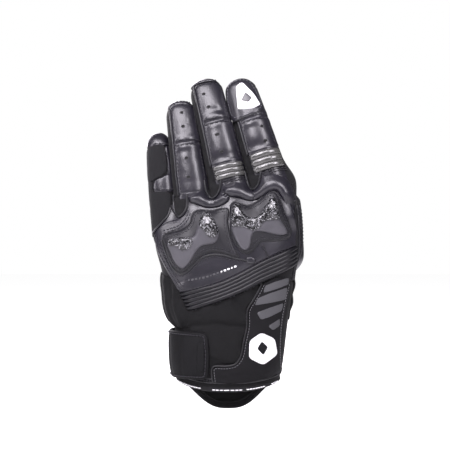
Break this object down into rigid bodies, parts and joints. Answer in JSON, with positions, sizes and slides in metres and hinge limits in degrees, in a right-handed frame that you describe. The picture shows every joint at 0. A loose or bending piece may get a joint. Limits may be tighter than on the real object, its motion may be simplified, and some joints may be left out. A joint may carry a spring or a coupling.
{
  "type": "riding glove",
  "caption": "Short-cuff left riding glove, filled as when worn: leather back, moulded knuckle guards with hard inserts, ribbed wrist band, palm slider and closure strap.",
  "frame": {"origin": "centre of the cuff's opening, where the wrist goes in", "axes": "+Z from the cuff to the fingertips, -Y the back of the hand, +X the thumb side"},
  "size_m": [0.1247, 0.0897, 0.258],
  "materials": {
    "back_leather": "drum-dyed goat leather, soft gloss",
    "rib_leather": "rolled and padded leather, soft gloss",
    "palm_leather": "matt goat leather",
    "gusset_fabric": "stretch knit",
    "stretch_fabric": "matt stretch weave",
    "neoprene": "neoprene with a fine knit face",
    "printed_panel": "stretch fabric printed with grey slanted stripes",
    "lining_fabric": "thin knitted lining",
    "guard_rubber": "moulded matt rubber",
    "carbon_insert": "forged carbon composite, lacquered above and matt grey below",
    "moulded_plastic": "hard moulded plastic",
    "reflective_patch": "reflective film",
    "binding_tape": "woven edge tape",
    "strap_leather": "synthetic leather over webbing",
    "hook_and_loop": "hook and loop pile"
  },
  "bodies": {
    "cuff": {"cuff_back_panel": "neoprene", "cuff_thumb_panel": "printed_panel", "cuff_outer_panel": "neoprene", "cuff_palm_panel": "neoprene", "cuff_binding_back": "binding_tape", "cuff_binding_tongue": "binding_tape", "cuff_emblem": "reflective_patch", "cuff_lining": "lining_fabric", "loop_pad": "hook_and_loop", "strap_anchor": "strap_leather", "wrist_ribs": "rib_leather", "wrist_palm_gusset": "stretch_fabric"},
    "hand": {"back_panel": "back_leather", "outer_side_panel": "stretch_fabric", "thumb_gusset_panel": "stretch_fabric", "palm_panel": "palm_leather", "palm_finger_roots": "palm_leather", "palm_slider": "moulded_plastic", "palm_patch": "palm_leather", "knuckle_pad_index_middle": "guard_rubber", "knuckle_insert_index_middle": "carbon_insert", "knuckle_pad_ring_little": "guard_rubber", "knuckle_insert_ring_little": "carbon_insert"},
    "strap": {"closure_strap": "strap_leather", "hook_pad": "hook_and_loop", "strap_pull_tab": "moulded_plastic"},
    "index_proximal": {"index_back_proximal": "back_leather", "index_palm_proximal": "palm_leather", "index_flex_gusset": "gusset_fabric", "index_finger_ribs": "rib_leather"},
    "index_distal": {"index_back_distal": "back_leather", "index_palm_distal": "palm_leather", "index_tip_patch": "reflective_patch"},
    "middle_proximal": {"middle_back_proximal": "back_leather", "middle_palm_proximal": "palm_leather", "middle_flex_gusset": "gusset_fabric", "middle_finger_ribs": "rib_leather"},
    "middle_distal": {"middle_back_distal": "back_leather", "middle_palm_distal": "palm_leather"},
    "ring_proximal": {"ring_back_proximal": "back_leather", "ring_palm_proximal": "palm_leather", "ring_flex_gusset": "gusset_fabric"},
    "ring_distal": {"ring_back_distal": "back_leather", "ring_palm_distal": "palm_leather"},
    "little_proximal": {"little_back_proximal": "back_leather", "little_palm_proximal": "palm_leather", "little_flex_gusset": "gusset_fabric"},
    "little_distal": {"little_back_distal": "back_leather", "little_palm_distal": "palm_leather", "little_outer_patch": "stretch_fabric"},
    "thumb_proximal": {"thumb_back_proximal": "back_leather", "thumb_palm_proximal": "palm_leather", "thumb_flex_gusset": "gusset_fabric"},
    "thumb_distal": {"thumb_back_distal": "back_leather", "thumb_palm_distal": "palm_leather"}
  },
  "joints": [
    {"name": "wrist_bend", "type": "hinge", "parent": "cuff", "child": "hand", "pos_m": [0, 0.001, 0.08], "axis": [-1, 0, 0], "range_deg": [-20, 25], "stiffness_Nm_per_rad": 1.5, "deforming": ["wrist_ribs", "wrist_palm_gusset"]},
    {"name": "index_knuckle_bend", "type": "hinge", "parent": "hand", "child": "index_proximal", "pos_m": [0.0405, -0.004, 0.135], "axis": [-0.9553, 0, -0.2957], "range_deg": [-8, 50], "stiffness_Nm_per_rad": 0.15},
    {"name": "index_middle_bend", "type": "hinge", "parent": "index_proximal", "child": "index_distal", "pos_m": [0.0258, 0.001, 0.1825], "axis": [-0.9553, 0, -0.2957], "range_deg": [-8, 50], "stiffness_Nm_per_rad": 0.15, "deforming": ["index_flex_gusset"]},
    {"name": "middle_knuckle_bend", "type": "hinge", "parent": "hand", "child": "middle_proximal", "pos_m": [0.0075, -0.004, 0.131], "axis": [-0.9716, 0, -0.2368], "range_deg": [-8, 50], "stiffness_Nm_per_rad": 0.15},
    {"name": "middle_middle_bend", "type": "hinge", "parent": "middle_proximal", "child": "middle_distal", "pos_m": [-0.0046, 0.0011, 0.1806], "axis": [-0.9716, 0, -0.2368], "range_deg": [-8, 50], "stiffness_Nm_per_rad": 0.15, "deforming": ["middle_flex_gusset"]},
    {"name": "ring_knuckle_bend", "type": "hinge", "parent": "hand", "child": "ring_proximal", "pos_m": [-0.025, -0.004, 0.123], "axis": [-0.9912, 0, -0.1323], "range_deg": [-8, 50], "stiffness_Nm_per_rad": 0.15},
    {"name": "ring_middle_bend", "type": "hinge", "parent": "ring_proximal", "child": "ring_distal", "pos_m": [-0.031, 0.0006, 0.1683], "axis": [-0.9912, 0, -0.1323], "range_deg": [-8, 50], "stiffness_Nm_per_rad": 0.15, "deforming": ["ring_flex_gusset"]},
    {"name": "little_knuckle_bend", "type": "hinge", "parent": "hand", "child": "little_proximal", "pos_m": [-0.047, -0.002, 0.112], "axis": [-0.9952, 0, -0.0976], "range_deg": [-8, 50], "stiffness_Nm_per_rad": 0.15},
    {"name": "little_middle_bend", "type": "hinge", "parent": "little_proximal", "child": "little_distal", "pos_m": [-0.0508, 0.0019, 0.1508], "axis": [-0.9952, 0, -0.0976], "range_deg": [-8, 50], "stiffness_Nm_per_rad": 0.15, "deforming": ["little_flex_gusset"]},
    {"name": "thumb_root_swing", "type": "hinge", "parent": "hand", "child": "thumb_proximal", "pos_m": [0.0492, 0.0231, 0.0975], "axis": [-0.035, 0.8139, -0.5799], "range_deg": [0, 35], "stiffness_Nm_per_rad": 0.15},
    {"name": "thumb_joint_bend", "type": "hinge", "parent": "thumb_proximal", "child": "thumb_distal", "pos_m": [0.0471, 0.042, 0.1278], "axis": [-0.021, -0.9347, 0.3548], "range_deg": [-8, 45], "stiffness_Nm_per_rad": 0.15, "deforming": ["thumb_flex_gusset"]},
    {"name": "closure_strap_peel", "type": "hinge", "parent": "cuff", "child": "strap", "pos_m": [-0.0366, 0.0242, 0.025], "axis": [0, 0, -1], "range_deg": [0, 95]}
  ]
}
